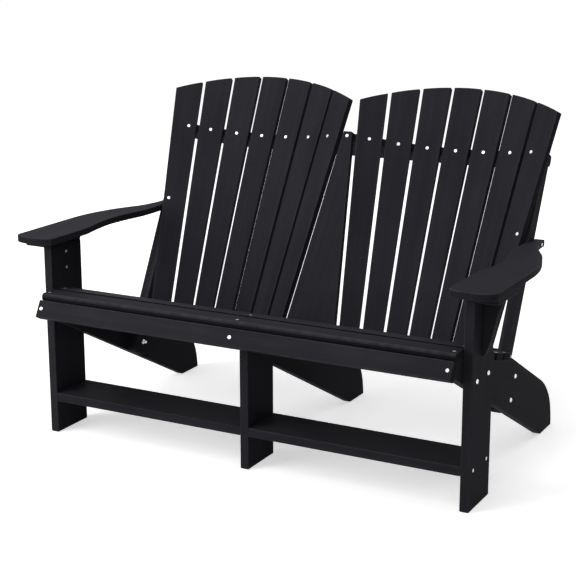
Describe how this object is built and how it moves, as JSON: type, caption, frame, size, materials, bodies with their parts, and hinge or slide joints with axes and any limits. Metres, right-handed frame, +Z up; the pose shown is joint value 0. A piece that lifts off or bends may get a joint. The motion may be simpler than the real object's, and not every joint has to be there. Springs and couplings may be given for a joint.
{
  "type": "adirondack loveseat",
  "caption": "Two-seat adirondack chair of dark plastic lumber, with fan backs, wide flat arms, sloping side rails and a contoured slat seat.",
  "frame": {"origin": "middle of the footprint, on the floor", "axes": "+X to the sitter's left, along the seat; +Y to the back; +Z up"},
  "size_m": [1.402, 0.8488, 0.9502],
  "materials": {
    "frame_boards": "charcoal plastic lumber with a fine pressed wood grain",
    "slat_boards": "charcoal plastic lumber with a fine pressed wood grain",
    "stainless_steel": "bright stainless steel"
  },
  "bodies": {
    "root": {"back_slat_01": "slat_boards", "back_slat_02": "slat_boards", "back_slat_03": "slat_boards", "back_slat_04": "slat_boards", "back_slat_05": "slat_boards", "back_slat_06": "slat_boards", "back_slat_07": "slat_boards", "back_slat_08": "slat_boards", "back_slat_09": "slat_boards", "back_slat_10": "slat_boards", "back_slat_11": "slat_boards", "back_slat_12": "slat_boards", "back_slat_13": "slat_boards", "back_slat_14": "slat_boards", "centre_leg": "frame_boards", "centre_leg_cleat": "frame_boards", "centre_side_rail": "frame_boards", "centre_wedge_slat": "slat_boards", "front_apron": "frame_boards", "left_arm": "slat_boards", "left_arm_gusset": "frame_boards", "left_arm_plate": "frame_boards", "left_arm_screw": "stainless_steel", "left_back_post": "frame_boards", "left_foot_board": "frame_boards", "left_leg": "frame_boards", "left_leg_front_bolt": "stainless_steel", "left_leg_front_nut": "stainless_steel", "left_leg_rear_bolt": "stainless_steel", "left_leg_rear_nut": "stainless_steel", "left_post_lower_bolt": "stainless_steel", "left_post_lower_nut": "stainless_steel", "left_post_upper_bolt": "stainless_steel", "left_post_upper_nut": "stainless_steel", "left_side_rail": "frame_boards", "lower_back_rail": "frame_boards", "right_arm": "slat_boards", "right_arm_gusset": "frame_boards", "right_arm_plate": "frame_boards", "right_arm_screw": "stainless_steel", "right_back_post": "frame_boards", "right_foot_board": "frame_boards", "right_leg": "frame_boards", "right_leg_front_bolt": "stainless_steel", "right_leg_front_nut": "stainless_steel", "right_leg_rear_bolt": "stainless_steel", "right_leg_rear_nut": "stainless_steel", "right_post_lower_bolt": "stainless_steel", "right_post_lower_nut": "stainless_steel", "right_post_upper_bolt": "stainless_steel", "right_post_upper_nut": "stainless_steel", "right_side_rail": "frame_boards", "seat_slat_1": "slat_boards", "seat_slat_2": "slat_boards", "seat_slat_3": "slat_boards", "seat_slat_4": "slat_boards", "seat_slat_5": "slat_boards", "seat_slat_6": "slat_boards", "upper_back_rail": "frame_boards"}
  },
  "joints": []
}
